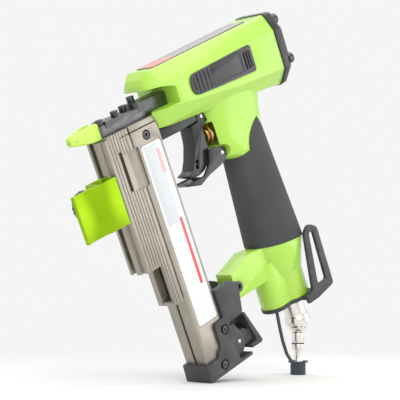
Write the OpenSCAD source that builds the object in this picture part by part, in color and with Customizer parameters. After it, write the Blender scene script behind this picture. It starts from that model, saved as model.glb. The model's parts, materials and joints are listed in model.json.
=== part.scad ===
// Pneumatic micro pinner standing on its magazine foot and on its dust cap.
// Every piece is drawn along the drive line: x runs back from the nose tip, z runs up from the path
// of the pin, and y runs to the far side. stand() then leans the whole tool back onto its two feet.

/* [Drive line] */
// Bore of the cylinder
cyl_bore = 26; // [24:0.5:27]
// Wall of the cylinder liner
liner_wall = 2; // [1.5:0.1:2.2]
// Length of the rubber bumper in front of the piston
bumper_len = 18; // [14:1:20]
// Travel of the driver piston
stroke = 55; // [48:1:56]
// Thickness of the piston
piston_len = 10; // [8:0.5:11]
// Diameter of the driver blade
blade_d = 1.4; // [1:0.1:1.5]
// Length of the longest pin that the magazine takes
pin_len = 30; // [20:1:30]
// Thickness of one pin
pin_t = 0.64; // [0.5:0.02:0.7]
// Number of pins in the strip
pin_count = 100; // [60:5:105]

/* [Barrel] */
// Front face of the barrel
barrel_x = 68; // [66:0.5:70]
// Rear face of the barrel, where the cap seats
cap_x = 200; // [198:0.5:204]
// Half width of the barrel
barrel_hw = 20.5; // [19.5:0.1:21]
// Height of the barrel top at its front end
top_front_z = 24.4; // [23:0.2:26]
// Height of the barrel top at its rear end
top_rear_z = 27.5; // [26:0.2:29]
// Height of the barrel underside at its rear end
low_rear_z = -27; // [-29:0.5:-25]
// Length of the rear cap
cap_len = 14.5; // [13:0.5:16]
// Thickness of the side plates
side_plate_t = 2.2; // [1.4:0.1:2.4]
// Length of the side plates
side_plate_len = 68; // [60:1:74]

/* [Grip] */
// Middle of the handle along the drive line
grip_x = 155; // [153:0.5:157]
// Half depth of the grip at its top
grip_top_rx = 19.5; // [18:0.5:21]
// Half depth of the grip at its bottom
grip_low_rx = 25; // [23:0.5:26]
// Half width of the grip at its top
grip_top_ry = 15.5; // [14.5:0.5:17]
// Half width of the grip at its bottom
grip_low_ry = 19.4; // [18:0.2:20]
// Lower edge of the grip sleeve at the back
grip_low_z = -140; // [-141:0.5:-138]
// Lower edge of the grip sleeve at the front
grip_front_z = -133; // [-134.5:0.5:-132]
// Wall of the rubber sleeve
sleeve_wall = 3; // [2:0.25:4]
// Air passage through the handle
air_bore = 13; // [11:0.5:14]
// Lower end of the handle casting
handle_low_z = -181.5; // [-184:0.5:-180]

/* [Trigger] */
// Trigger pivot along the drive line
trigger_x = 116.9; // [116:0.1:118]
// Trigger pivot height
trigger_z = -22.5; // [-23:0.1:-22]
// Half width of the trigger
trigger_hw = 6; // [5.6:0.1:6.2]
// Safety lever pivot along the drive line
lever_x = 124; // [123:0.1:125]
// Safety lever pivot height
lever_z = -53.2; // [-54:0.1:-53]
// Diameter of the two pivot pins
pivot_d = 3; // [2.5:0.1:3.4]
// Height of the valve's middle
valve_z = -38; // [-38.5:0.1:-37]
// Diameter of the valve's brass head
valve_head_d = 15; // [13:0.5:16]

/* [Magazine] */
// Front face of the fixed magazine
mag_front_x = 44; // [43.5:0.1:45]
// Rear face of the fixed magazine
mag_rear_x = 71; // [70:0.2:72]
// Half width of the magazine
mag_hw = 10.5; // [10:0.1:11]
// Lower end of the fixed magazine
mag_low_z = -185; // [-188:0.5:-182]
// Front face of the sliding cover
cover_front_x = 18; // [17:0.2:19]
// Front face of the cover's short lower step
cover_step_x = 33; // [31:0.5:35]
// Lower end of the cover's long front step
cover_step_z = -103; // [-105:0.5:-102]
// Lower end of the sliding cover
cover_low_z = -133.5; // [-135:0.5:-132]
// Far side face of the sliding cover
cover_far_y = 5.5; // [5:0.1:6]
// Half width of the slot that holds the pins
pin_slot_hw = 0.5; // [0.42:0.02:0.55]
// Gap between the cover and the fixed magazine
seam_gap = 1.7; // [1.2:0.1:2]

/* [Foot and bracket] */
// Half width of the bracket
bracket_hw = 12.5; // [12:0.1:13]
// Front of the foot
foot_x = 41; // [40:0.2:42]
// Underside of the foot
foot_z = -198.3; // [-200:0.1:-197]
// Radius of the foot's front lower edge
foot_r = 1.2; // [0.8:0.1:2]
// Release lever pivot along the drive line
release_x = 81.4; // [81:0.1:82]
// Release lever pivot height
release_z = -184.6; // [-185:0.1:-184]

/* [Edge guide] */
// Fence end in front of the nose tip
guide_front_x = -20.7; // [-24:0.5:-18]
// Upper end of the guide
guide_top_z = -30.5; // [-32:0.5:-28]
// Height of the guide
guide_h = 33.5; // [28:0.5:36]
// Wall of the guide
guide_wall = 2; // [1.5:0.1:2.4]
// Radius of the guide's knob
knob_r = 10.5; // [8:0.5:12]

/* [Belt hook and plug] */
// Near face of the belt hook
hook_y = -21.5; // [-22:0.1:-21]
// Thickness of the belt hook
hook_t = 2.5; // [2:0.1:3]
// Width of the belt hook
hook_w = 20; // [17:0.5:21]
// Height of the swivel's ball centre
ball_z = -203.6; // [-205:0.2:-203]
// Diameter of the swivel's shell
shell_d = 20.6; // [19.5:0.1:21.5]
// Diameter of the ball inside the shell
ball_d = 16; // [15:0.2:16.6]
// Distance from the ball's centre to the end of the dust cap
plug_len = 42; // [41:0.2:44]
// Diameter of the air plug's collar
collar_d = 9.6; // [9:0.1:10.5]
// Diameter of the dust cap
cap_d = 11.8; // [11.2:0.1:13]

/* [Clearances] */
// Gap between pieces that stay together
seat_gap = 0.05; // [0.02:0.01:0.1]
// Radial gap of sliding and turning fits
run_gap = 0.1; // [0.05:0.01:0.12]
// Gap between faces that move past each other
free_gap = 0.25; // [0.2:0.01:0.3]

/* [Hidden] */
$fn = 48;

green = "#8cc63f";
black = "#2b2c2e";
champagne = "#b9b1a2";
steel = "#8f9196";
brass = "#b58a45";

// Drive line, worked out from front to back
liner_r = cyl_bore / 2 + liner_wall;
liner_x = barrel_x + 26;
piston_x = liner_x + bumper_len + stroke + 0.5;
liner_end_x = piston_x + piston_len + 3;
bumper_r = cyl_bore / 2 - run_gap;
air_r = liner_r + 1.5;
head_valve_x = liner_end_x + seat_gap;
channel_d = blade_d + 0.4;
pin_x = 54 - pin_len;
strip_len = pin_count * pin_t;
strip_top_z = -blade_d / 2 - 2 * run_gap;
strip_low_z = strip_top_z - strip_len;
blade_tip_x = 54 + 2;
top_slope = atan2(top_rear_z - top_front_z, cap_x - (barrel_x + 9));

// Magazine
cover_rear_x = mag_front_x - seam_gap;
cover_top_z = -5;
mag_top_z = -9.6;
bar_low_z = -8.9;
nose_low_z = -4.8;
pusher_h = 14;
pusher_z = strip_low_z - seat_gap;
guide_low_z = guide_top_z - guide_h;

// The lean puts the foot's edge and the dust cap's face on one level
foot_c = [foot_x + foot_r, foot_z + foot_r];
ball_dx = grip_x - foot_c[0];
ball_dz = ball_z - foot_c[1];
lean = asin((plug_len - foot_r) / norm([ball_dx, ball_dz])) - atan2(ball_dz, ball_dx);
floor_z = foot_c[0] * sin(lean) + foot_c[1] * cos(lean) - foot_r;

// Belt hook outline, from its own width
hook_low = [180, -184.5];
hook_corner_r = 3;
left_x = guide_front_x * cos(lean) - guide_top_z * sin(lean);
right_x = hook_low[0] * cos(lean) - hook_low[1] * sin(lean) + hook_corner_r;
mid_x = (left_x + right_x) / 2;

// ---- Helpers ----

// Leans the tool back and sets it on the ground, centred
module stand() {
    translate([-mid_x, 0, -floor_z])
        rotate([0, -lean, 0])
            children();
}

// Extrudes an outline drawn in x and z from y0 to y1
module across(y0, y1) {
    translate([0, y1, 0])
        rotate([90, 0, 0])
            linear_extrude(y1 - y0)
                children();
}

// The same on both sides of the middle
module both_sides(y0, y1) {
    across(y0, y1) children();
    across(-y1, -y0) children();
}

// Extrudes an outline drawn in y and z from x0 to x1
module along(x0, x1) {
    translate([x0, 0, 0])
        rotate([90, 0, 90])
            linear_extrude(x1 - x0)
                children();
}

// Extrudes an outline drawn in x and y from z0 up to z1
module upright(z0, z1) {
    translate([0, 0, z0])
        linear_extrude(z1 - z0)
            children();
}

// Round bar along x, y or z
module bar_x(x0, x1, r, y = 0, z = 0) {
    translate([x0, y, z])
        rotate([0, 90, 0])
            cylinder(r = r, h = x1 - x0);
}
module bar_y(y0, y1, r, x = 0, z = 0) {
    translate([x, y0, z])
        rotate([-90, 0, 0])
            cylinder(r = r, h = y1 - y0);
}
module bar_z(z0, z1, r, x = 0, y = 0) {
    translate([x, y, z0])
        cylinder(r = r, h = z1 - z0);
}

// Box between two corners
module block(a, b) {
    translate(a)
        cube(b - a);
}

function unit(v) = v / norm(v);

// Points of an arc in place of the corner b between a and c
function corner(a, b, c, r, n) =
    let (u = unit(a - b), v = unit(c - b), half = acos(u * v) / 2)
    let (o = b + unit(u + v) * r / sin(half), t = r / tan(half))
    let (p = b + u * t - o, q = b + v * t - o)
    let (a0 = atan2(p[1], p[0]), turn = atan2(p[0] * q[1] - p[1] * q[0], p * q))
    [for (i = [0:n]) o + r * [cos(a0 + turn * i / n), sin(a0 + turn * i / n)]];

// Outline with round corners, given as [x, y, radius]
function rounded(pts, n = 5) = [for (i = [0:len(pts) - 1])
    let (a = pts[(i + len(pts) - 1) % len(pts)], b = pts[i], c = pts[(i + 1) % len(pts)])
    each b[2] == 0 ? [[b[0], b[1]]]
        : corner([a[0], a[1]], [b[0], b[1]], [c[0], c[1]], b[2], n)];

// Solid skin over rings of equal length, each ring counter-clockwise about the way they are stacked
module loft(rings) {
    n = len(rings[0]);
    m = len(rings);
    sides = [for (i = [0:m - 2], j = [0:n - 1])
        let (k = (j + 1) % n, p = i * n, q = p + n)
        each [[q + j, q + k, p + k], [q + j, p + k, p + j]]];
    floor_face = [for (j = [0:n - 1]) j];
    roof_face = [for (j = [n - 1:-1:0]) (m - 1) * n + j];
    polyhedron([for (ring = rings) each ring], concat([floor_face], sides, [roof_face]));
}

// Oval ring at height z, squarer as e grows
function oval(z, x0, x1, ry, e = 2, n = 36) = [for (i = [0:n - 1])
    let (a = 360 * i / n, c = cos(a), s = sin(a))
    [(x0 + x1) / 2 + (x1 - x0) / 2 * sign(c) * pow(abs(c), 2 / e), ry * sign(s) * pow(abs(s), 2 / e), z]];

// Round wire coil along z from the origin, as one swept skin
module coil(r, wire, turns, pitch, steps = 14, sides = 6) {
    count = steps * turns;
    loft([for (i = [0:count])
        let (a = 360 * i / steps)
        [for (j = [0:sides - 1])
            let (b = -360 * j / sides, d = r + wire / 2 * cos(b))
            [d * cos(a), d * sin(a), pitch * i / steps + wire / 2 * sin(b)]]]);
}

// Socket head screw along z with its head above z = 0
module socket_screw(d, len, head_d, head_h, key) {
    difference() {
        union() {
            cylinder(d = d, h = len);
            translate([0, 0, len])
                cylinder(d = head_d, h = head_h);
        }
        translate([0, 0, len + head_h * 0.4])
            cylinder(d = key, h = head_h, $fn = 6);
    }
}

// ---- Barrel ----

barrel_mid_x = liner_x + 51;
function top_z(x) = top_front_z + (x - barrel_x - 9) * tan(top_slope);

// Barrel section: half widths of side, top and underside, then heights of top, shoulders and underside
function barrel_ring(x, hw, tw, bw, zt, zs, zc, zb, r) = [for (p = rounded(
    [[hw, zc, r], [hw, zs, r], [tw, zt, r], [-tw, zt, r], [-hw, zs, r], [-hw, zc, r], [-bw, zb, r], [bw, zb, r]], 3))
    [x, p[0], p[1]]];

module barrel_shape() {
    loft([
        barrel_ring(barrel_x, barrel_hw - 9.5, 6.5, 6.5, 15, 9, -4, -14.5, 2),
        barrel_ring(barrel_x + 2.5, barrel_hw - 6, 9, 9.5, 20, 11, -3, -15.8, 2.5),
        barrel_ring(barrel_x + 9, barrel_hw - 0.8, 11.6, 12, top_front_z, 13, -2.6, -16.6, 3),
        barrel_ring(barrel_x + 13, barrel_hw, 12, 12.6, top_z(barrel_x + 13), 13.3, -2.8, -17, 3),
        barrel_ring(barrel_mid_x, barrel_hw, 13, 12.6, top_z(barrel_mid_x), 14, -11.6, -21.4, 3),
        barrel_ring(cap_x, barrel_hw, 14, 12, top_rear_z, 14.5, -15.5, low_rear_z, 3)]);
}

module neck_shape() {
    loft([
        oval(-64, grip_x - 17, grip_x + 17, 13, 2.2),
        oval(-58, grip_x - 29, grip_x + 17.5, 13.4, 2.8),
        oval(-46, grip_x - 34.5, grip_x + 18, 14, 3.2),
        oval(-34, grip_x - 34.5, grip_x + 20.5, 14, 3.2),
        oval(-26, grip_x - 35.5, grip_x + 24, 14.6, 3),
        oval(-15, grip_x - 38, grip_x + 30, 16.5, 3)]);
}

// Handle profile, drawn smaller by inset for the casting inside the rubber
function grip_ring(z, inset) =
    let (t = (-60 - z) / (-60 - grip_low_z))
    let (rx = grip_top_rx + (grip_low_rx - grip_top_rx) * t - inset)
    let (ry = grip_top_ry + (grip_low_ry - grip_top_ry) * t - inset)
    oval(z, grip_x - rx, grip_x + rx, ry, 2.2);

module grip_shape(z0, z1, inset) {
    loft([grip_ring(z0, inset), grip_ring((z0 + z1) / 2, inset), grip_ring(z1, inset)]);
}

// Everything below the sleeve's sloping lower edge, seen from the side
module below_sleeve(gap) {
    polygon([[grip_x - 60, -200], [grip_x + 60, -200], [grip_x + 60, slope_z(60) - gap], [grip_x - 60, slope_z(-60) - gap]]);
}
function slope_z(dx) = (grip_front_z + grip_low_z) / 2 + (grip_low_z - grip_front_z) * dx / (2 * grip_low_rx);

// Curved upper edge of the sleeve, seen from the side
module sleeve_edge(gap) {
    polygon(concat(
        [[100, -63.2 + gap], [128, -63.2 + gap], [142, -61.5 + gap]],
        [for (i = [0:8]) let (a = 90 - 80 * i / 8) [147 + 34 * (1 - sin(a)), -60.5 + gap + 24 * cos(a)]],
        [[184, -36 + gap], [200, -34 + gap], [200, 30], [100, 30]]));
}

// Arm that reaches forward from the handle end to the bracket
module arm_outline() {
    polygon(rounded([[grip_x, -142, 0], [126, -130, 4], [111, -134, 6], [98, -138, 8],
        [77.5, -138, 5], [77.5, -149, 4], [90, -157.5, 6], [grip_x, -158.5, 0]]));
}

pillar_r = 15;
lobe_r = 10.5;
lobe_x = grip_x - 19;

module handle_end() {
    bar_z(handle_low_z, -150, pillar_r, grip_x);
    bar_z(handle_low_z, -146, lobe_r, lobe_x);
    block([lobe_x, -lobe_r, handle_low_z], [grip_x, lobe_r, -150]);
    intersection() {
        loft([
            oval(-160, grip_x - 17, grip_x + 15.5, 15, 2.2),
            oval(-150, grip_x - 21.5, grip_x + 19, 17.3, 2.2),
            oval(-140, grip_x - grip_low_rx + 1, grip_x + grip_low_rx - 0.8, grip_low_ry - 0.5, 2.2),
            oval(-130, grip_x - grip_low_rx + 1, grip_x + grip_low_rx - 0.8, grip_low_ry - 0.8, 2.2)]);
        across(-30, 30) below_sleeve(seat_gap);
    }
    intersection() {
        across(-8, 8) arm_outline();
        across(-30, 30) below_sleeve(seat_gap);
    }
}

cap_screw_spots = [[12.5, 20.6], [-12.5, 20.6], [17, -10.6], [-17, -10.6]];
cap_screw_d = 5;
cap_seat_x = cap_x + 8.5;

lug_hw = trigger_hw - 2.2;
cheek_y = trigger_hw + 0.3;
cheek_t = 2;
side_plate_x = barrel_x + 34;

module side_plate_outline(gap = 0) {
    front = side_plate_x;
    rear = side_plate_x + side_plate_len;
    polygon(rounded([[front - gap, -4 - gap, 6], [front + 22, -5.2 - gap, 20], [rear + gap, -7 - gap, 2],
        [rear + gap, 13 + gap, 2], [front + 20, 11.4 + gap, 20], [front - gap, 10.8 + gap, 6]]));
}

module top_strip_place() {
    translate([barrel_x + 16, 0, top_z(barrel_x + 16)])
        rotate([0, -top_slope, 0])
            children();
}

module housing() {
    color(green)
    stand()
    difference() {
        union() {
            barrel_shape();
            neck_shape();
            grip_shape(grip_low_z - 1, -57, sleeve_wall);
            handle_end();
            block([trigger_x - 4.5, -lug_hw, trigger_z - 4.5], [trigger_x + 6, lug_hw, -15]);
            bar_y(-cheek_y + 0.3, cheek_y - 0.3, 5.8, lever_x, lever_z);
        }
        // Cylinder seat, air reservoir and driver passage
        bar_x(liner_x, cap_x + 1, liner_r + seat_gap);
        bar_x(liner_x + bumper_len, cap_x + 1, air_r);
        bar_x(barrel_x + 10, liner_x + 1, channel_d / 2 + 1);
        // Mouth that takes the nose
        across(-30, 30)
            polygon([[60, 13.2], [76, 12.2], [85.5, 10], [88.5, 8.2], [88.5, -3.2], [60, -3.2]]);
        // Recess round the magazine's upper rear corner
        block([60, -mag_hw - 0.15, -60], [mag_rear_x + 0.15, mag_hw + 0.15, -3]);
        // Underside seat of the lock-out
        block([60, -9.2, -40], [lockout_end_x + 0.6, 9.2, lockout_top_z]);
        // Valve, trigger and lever
        block([100, -trigger_hw - 3, valve_z - 9.2], [130, trigger_hw + 3, valve_z + 9]);
        bar_x(120, 151, valve_shank_r + seat_gap, 0, valve_z);
        both_sides(lug_hw, trigger_hw + 0.4)
            translate([trigger_x, trigger_z])
                circle(r = 6);
        both_sides(cheek_y - 0.3, 30)
            lever_swept();
        bar_y(-20, 20, pivot_d / 2 + seat_gap / 2, trigger_x, trigger_z);
        bar_y(-10, 10, pivot_d / 2 + seat_gap / 2, lever_x, lever_z);
        // Air passage
        bar_z(handle_low_z - 1, -8, air_bore / 2, grip_x);
        // Seats of the plates, screws and bolt
        both_sides(barrel_hw - 1, barrel_hw + 5)
            side_plate_outline(0.1);
        top_strip_place()
            block([-0.1, -9.1, -0.8], [102.1, 9.1, 5]);
        for (p = cap_screw_spots)
            bar_x(cap_x - 14, cap_x + 1, cap_screw_d / 2 + seat_gap / 2, p[0], p[1]);
        bar_y(-9, 9, arm_bolt_d / 2 + seat_gap, arm_bolt_at[0], arm_bolt_at[1]);
        bar_y(-8.1, -5, 4 + seat_gap, arm_bolt_at[0], arm_bolt_at[1]);
        for (p = hook_screw_spots)
            bar_z(handle_low_z - 1, handle_low_z + 9, 1.5 + seat_gap / 2, p[0], p[1]);
        bar_x(80, 93, 1.5 + seat_gap / 2, 0, -9.4 + 3);
    }
}

module cylinder_liner() {
    color(steel)
    stand()
    difference() {
        union() {
            bar_x(liner_x, liner_end_x, liner_r);
            bar_x(liner_end_x - 3, liner_end_x, air_r - 0.6);
        }
        bar_x(liner_x - 1, liner_end_x + 1, cyl_bore / 2);
    }
}

module bumper() {
    color(black)
    stand()
    difference() {
        bar_x(liner_x + seat_gap, liner_x + bumper_len, bumper_r);
        bar_x(liner_x - 1, liner_x + bumper_len + 1, channel_d / 2 + 1);
        translate([liner_x + bumper_len, 0, 0])
            sphere(r = 6);
    }
}

ring_groove_x = piston_x + piston_len / 2;
ring_groove = 1.4;
module driver_piston() {
    color(steel)
    stand()
    difference() {
        union() {
            bar_x(piston_x, piston_x + piston_len, cyl_bore / 2 - run_gap);
            bar_x(piston_x - 4, piston_x + 1, 4);
            bar_x(blade_tip_x, piston_x, blade_d / 2);
        }
        translate([ring_groove_x, 0, 0])
            rotate([0, 90, 0])
                rotate_extrude()
                    translate([cyl_bore / 2 - ring_groove, -ring_groove / 2])
                        square([3, ring_groove]);
        bar_x(piston_x + piston_len - 4, piston_x + piston_len + 1, 8);
    }
}

module piston_ring() {
    color(black)
    stand()
    translate([ring_groove_x, 0, 0])
        rotate([0, 90, 0])
            rotate_extrude()
                translate([cyl_bore / 2 - ring_groove / 2 - seat_gap / 2, 0])
                    circle(r = ring_groove / 2 - seat_gap, $fn = 16);
}

module head_valve() {
    color(black)
    stand()
    difference() {
        union() {
            bar_x(head_valve_x, head_valve_x + 4, air_r - run_gap);
            bar_x(head_valve_x, head_valve_x + 8, 8);
        }
        bar_x(head_valve_x - 1, head_valve_x + 9, 4);
    }
}

spring_wire = 1.6;
head_spring_x = head_valve_x + 4 + 3 + spring_wire / 2;
head_spring_len = cap_x + 7 - head_spring_x - spring_wire / 2 - seat_gap;
module head_valve_spring() {
    color(steel)
    stand()
    translate([head_spring_x, 0, 0])
        rotate([0, 90, 0])
            coil(11, spring_wire, 4, head_spring_len / 4);
}

// ---- Rear cap ----

function cap_ring(x, inset, zt, zb) =
    barrel_ring(x, barrel_hw + 0.6 - inset, 14.6 - inset * 0.7, 12.4 - inset * 0.5, zt, 14.4 - inset * 0.4,
        max(-15.8, zb + 4), zb, 3);

module rear_cap() {
    back = cap_x + cap_len;
    color(black)
    stand()
    difference() {
        loft([
            cap_ring(cap_x + gasket_t, 0, top_rear_z + 0.5, low_rear_z - 0.8),
            cap_ring(cap_x + 6.5, 0, top_rear_z + 0.5, low_rear_z - 0.4),
            cap_ring(cap_x + 9, 1, top_rear_z - 0.3, low_rear_z + 2.5),
            cap_ring(cap_x + 12, 3, top_rear_z - 5, low_rear_z + 11),
            cap_ring(back, 7, top_rear_z - 14, low_rear_z + 20)]);
        bar_x(cap_x, cap_x + 7, liner_r);
        for (p = cap_screw_spots) {
            bar_x(cap_x - 1, back, cap_screw_d / 2 + 0.25, p[0], p[1]);
            bar_x(cap_seat_x, back + 5, 4.8, p[0], p[1]);
        }
    }
}

gasket_t = 0.8;
module cap_gasket() {
    color(black)
    stand()
    difference() {
        along(cap_x, cap_x + gasket_t)
            polygon(rounded([[barrel_hw, -15.5, 3], [barrel_hw, 14.5, 3], [14, top_rear_z, 3], [-14, top_rear_z, 3],
                [-barrel_hw, 14.5, 3], [-barrel_hw, -15.5, 3], [-12, low_rear_z, 3], [12, low_rear_z, 3]], 3));
        bar_x(cap_x - 1, cap_x + 2, air_r);
        for (p = cap_screw_spots)
            bar_x(cap_x - 1, cap_x + 2, cap_screw_d / 2 + 0.25, p[0], p[1]);
    }
}

module cap_screws() {
    color(steel)
    stand()
    for (p = cap_screw_spots)
        translate([cap_x - 12, p[0], p[1]])
            rotate([0, 90, 0])
                socket_screw(cap_screw_d, cap_seat_x + seat_gap - cap_x + 12, 8.5, 5, 4);
}

module top_strip() {
    color(champagne)
    stand()
    top_strip_place()
        upright(-0.75, 0.5)
            polygon(rounded([[0, -9, 2], [102, -9, 2], [102, 9, 2], [0, 9, 2]]));
}

module side_plates() {
    color(green)
    stand()
    both_sides(barrel_hw - 1 + seat_gap, barrel_hw - 1 + side_plate_t)
        difference() {
            side_plate_outline();
            translate([side_plate_x + side_plate_len - 10, 0])
                for (i = [0:2])
                    translate([3 * i, -3])
                        square([1, 12]);
        }
}

// ---- Grip ----

module grip_sleeve() {
    color(black)
    stand()
    difference() {
        grip_shape(grip_low_z - 2, -30, 0);
        grip_shape(grip_low_z - 3, -29, sleeve_wall - seat_gap);
        across(-30, 30) sleeve_edge(0);
        across(-30, 30) below_sleeve(0);
        neck_shape();
    }
}

// ---- Trigger, lever and valve ----

valve_shank_r = 5.5;
stem_r = 1.5;

module trigger_outline() {
    x = trigger_x;
    z = trigger_z;
    polygon(rounded([[x - 13, z - 3.2, 1], [x - 5.4, z - 3.2, 1], [x - 4.8, z + 4.2, 3], [x + 4, z + 4.2, 3.6],
        [x + 4, z - 4.6, 3.6], [x - 3, z - 7.5, 2], [x - 3, z - 24, 4], [x - 7.5, z - 31.5, 6],
        [x - 12, z - 36.4, 5], [x - 19, z - 38.3, 5], [x - 25.5, z - 38.2, 1.5], [x - 30.6, z - 35.4, 0.5],
        [x - 24, z - 33.2, 4], [x - 19.4, z - 26.5, 10], [x - 14.6, z - 16, 20]]));
}

module trigger() {
    color(black)
    stand()
    difference() {
        across(-trigger_hw, trigger_hw)
            trigger_outline();
        // The casting is a channel that is open behind the finger face
        across(-lug_hw - free_gap, lug_hw + free_gap)
            polygon([[trigger_x - 9.6, 0], [trigger_x + 10, 0], [trigger_x + 10, trigger_z - 9.5],
                [trigger_x - 3, trigger_z - 9.5], [trigger_x - 10.2, trigger_z - 9.5]]);
        bar_y(-10, 10, pivot_d / 2 + run_gap / 2, trigger_x, trigger_z);
        // Slotted window above the tip
        translate([0, 10, 0])
            rotate([90, 0, 0])
                linear_extrude(20)
                    for (s = [0:1])
                        translate([trigger_x - 17.6 - 1.2 * s, trigger_z - 28.6 - 3.4 * s])
                            circle(r = 1.7);
    }
}

module trigger_pin() {
    color(steel)
    stand()
    bar_y(-trigger_hw, trigger_hw, pivot_d / 2, trigger_x, trigger_z);
}

lever_tail = [lever_x - 43, lever_z - 9.6];
module lever_outline() {
    x = lever_x;
    z = lever_z;
    polygon(rounded([[x - 5.8, z + 6.2, 0.8], [x + 4.9, z + 3.4, 4.6], [x + 3.4, z - 4.4, 4.6], [x - 4.5, z - 7.8, 6],
        [x - 19, z - 10.4, 8], [x - 30, z - 14, 3], [lever_tail[0], lever_tail[1] - 0.6, 0.4],
        [lever_tail[0] + 0.5, lever_tail[1] + 0.6, 0.4], [x - 34, z - 9.2, 6], [x - 24, z - 9.4, 6],
        [x - 16.2, z - 3.2, 6], [x - 12.2, z + 6.6, 0.8]]));
}

// Side pocket that clears the lever over its whole turn
module lever_swept() {
    translate([lever_x, lever_z])
        circle(r = 5.8);
    translate([lever_x - 16, lever_z - 16])
        square([16, 21.5]);
}

module safety_lever() {
    color(black)
    stand()
    difference() {
        union() {
            both_sides(cheek_y, cheek_y + cheek_t)
                lever_outline();
            across(-cheek_y - cheek_t, cheek_y + cheek_t)
                intersection() {
                    lever_outline();
                    translate([lever_x - 50, lever_z - 20])
                        square([27, 10]);
                }
        }
        bar_y(-20, 20, pivot_d / 2 + run_gap / 2, lever_x, lever_z);
    }
}

module lever_pin() {
    color(steel)
    stand()
    bar_y(-cheek_y - cheek_t, cheek_y + cheek_t, pivot_d / 2, lever_x, lever_z);
}

valve_x = 117.5;
module valve_body() {
    color(brass)
    stand()
    difference() {
        union() {
            bar_x(valve_x + 2, 130 - seat_gap, valve_head_d / 2, 0, valve_z);
            bar_x(valve_x, valve_x + 3, valve_head_d / 2 - 2, 0, valve_z);
            bar_x(valve_x, 149, valve_shank_r, 0, valve_z);
        }
        bar_x(valve_x - 1, valve_x + 12, stem_r + run_gap, 0, valve_z);
        bar_x(valve_x + 10, 150, 3.4, 0, valve_z);
        translate([valve_x + 7.5, 0, valve_z])
            rotate([0, 90, 0])
                rotate_extrude()
                    translate([valve_head_d / 2 - 1, -0.8])
                        square([3, 1.6]);
    }
}

stem_tip_x = trigger_x - 2.65;
module valve_stem() {
    color(steel)
    stand() {
        bar_x(stem_tip_x + stem_r, 140, stem_r, 0, valve_z);
        translate([stem_tip_x + stem_r, 0, valve_z])
            sphere(r = stem_r);
        bar_x(valve_x + 10 + free_gap, valve_x + 13, 3.2, 0, valve_z);
    }
}

valve_spring_x = valve_x + 13 + 2.6;
module valve_spring() {
    color(steel)
    stand()
    translate([valve_spring_x, 0, valve_z])
        rotate([0, 90, 0])
            coil(2.6, 0.7, 5, (149 - valve_spring_x - 0.4) / 5, 12);
}

// ---- Nose ----

nose_front_x = 23;
nozzle_x = 2;
nose_hw = 7.4;
plate_front_x = 28;
plate_rear_x = 60;
nose_rear_x = 88.4;
nose_screw_spots = [[26, -4.3], [41.5, -4.3], [57, 4.3], [66.5, 4.3]];

function nozzle_ring(x, hw, h) = [[x, hw, -h], [x, hw, h], [x, -hw, h], [x, -hw, -h]];

module nose_base() {
    color(steel)
    stand()
    difference() {
        union() {
            across(-nose_hw, nose_hw)
                polygon([[nose_front_x, nose_low_z], [mag_rear_x - 0.2, nose_low_z], [mag_rear_x, -3.1], [nose_rear_x, -3.1],
                    [nose_rear_x, 6.2],
                    [plate_rear_x + 1.4, 6.6], [plate_rear_x + 1.4, 0], [plate_front_x - 0.3, 0],
                    [plate_front_x - 0.3, 2.9], [nose_front_x, 2.9]]);
            loft([nozzle_ring(nozzle_x, 1.8, 1.6), nozzle_ring(9, 2.4, 2.4), nozzle_ring(nose_front_x + 0.5, 2.4, 2.4)]);
        }
        bar_x(nozzle_x - 1, nose_rear_x + 1, channel_d / 2);
        for (p = nose_screw_spots)
            bar_z(nose_low_z - 1, 8, 1.3, p[0], p[1]);
        bar_x(nose_rear_x - 5, nose_rear_x + 1, 1.5 + seat_gap / 2, 0, -9.4 + 3 + 3.6);
        // Slot through which the strip feeds its first pin
        block([pin_x - 0.3, -pin_slot_hw, nose_low_z - 1], [54.5, pin_slot_hw, 0]);
    }
}

module nose_plate() {
    color(steel)
    stand()
    difference() {
        across(-nose_hw, nose_hw)
            polygon([[plate_front_x, seat_gap], [plate_front_x + 1.6, 4.6], [plate_rear_x, 3], [plate_rear_x + 1.2, 3],
                [plate_rear_x + 1.2, seat_gap]]);
        bar_x(plate_front_x - 1, plate_rear_x + 3, channel_d / 2);
        for (p = nose_screw_spots)
            bar_z(-1, 8, 1.3, p[0], p[1]);
        block([plate_front_x - 1, -3, 2.9], [38, 3, 9]);
    }
}

module nose_blade() {
    color(steel)
    stand()
    difference() {
        translate([0, 0, 2.9 + seat_gap])
            linear_extrude(1.5)
                polygon([[12, -0.6], [18, -2.8], [37.8, -2.8], [37.8, 2.8], [18, 2.8], [12, 0.6]]);
        bar_z(0, 8, 3.2, nose_screw_spots[0][0], nose_screw_spots[0][1]);
        bar_z(0, 8, 3.2, nose_screw_spots[1][0], nose_screw_spots[1][1]);
    }
}

module nose_screws() {
    seats = [2.9, 4.15, 3.35, 6.7];
    color(steel)
    stand()
    for (i = [0:3])
        translate([nose_screw_spots[i][0], nose_screw_spots[i][1], nose_low_z])
            socket_screw(2.5, seats[i] - nose_low_z + seat_gap, 5.6, 4, 2.5);
}

function tip_ring(x, hw, zb, zt, r) = [for (p = rounded([[hw, zb, r], [hw, zt, r], [-hw, zt, r], [-hw, zb, r]], 3))
    [x, p[0], p[1]]];

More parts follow.
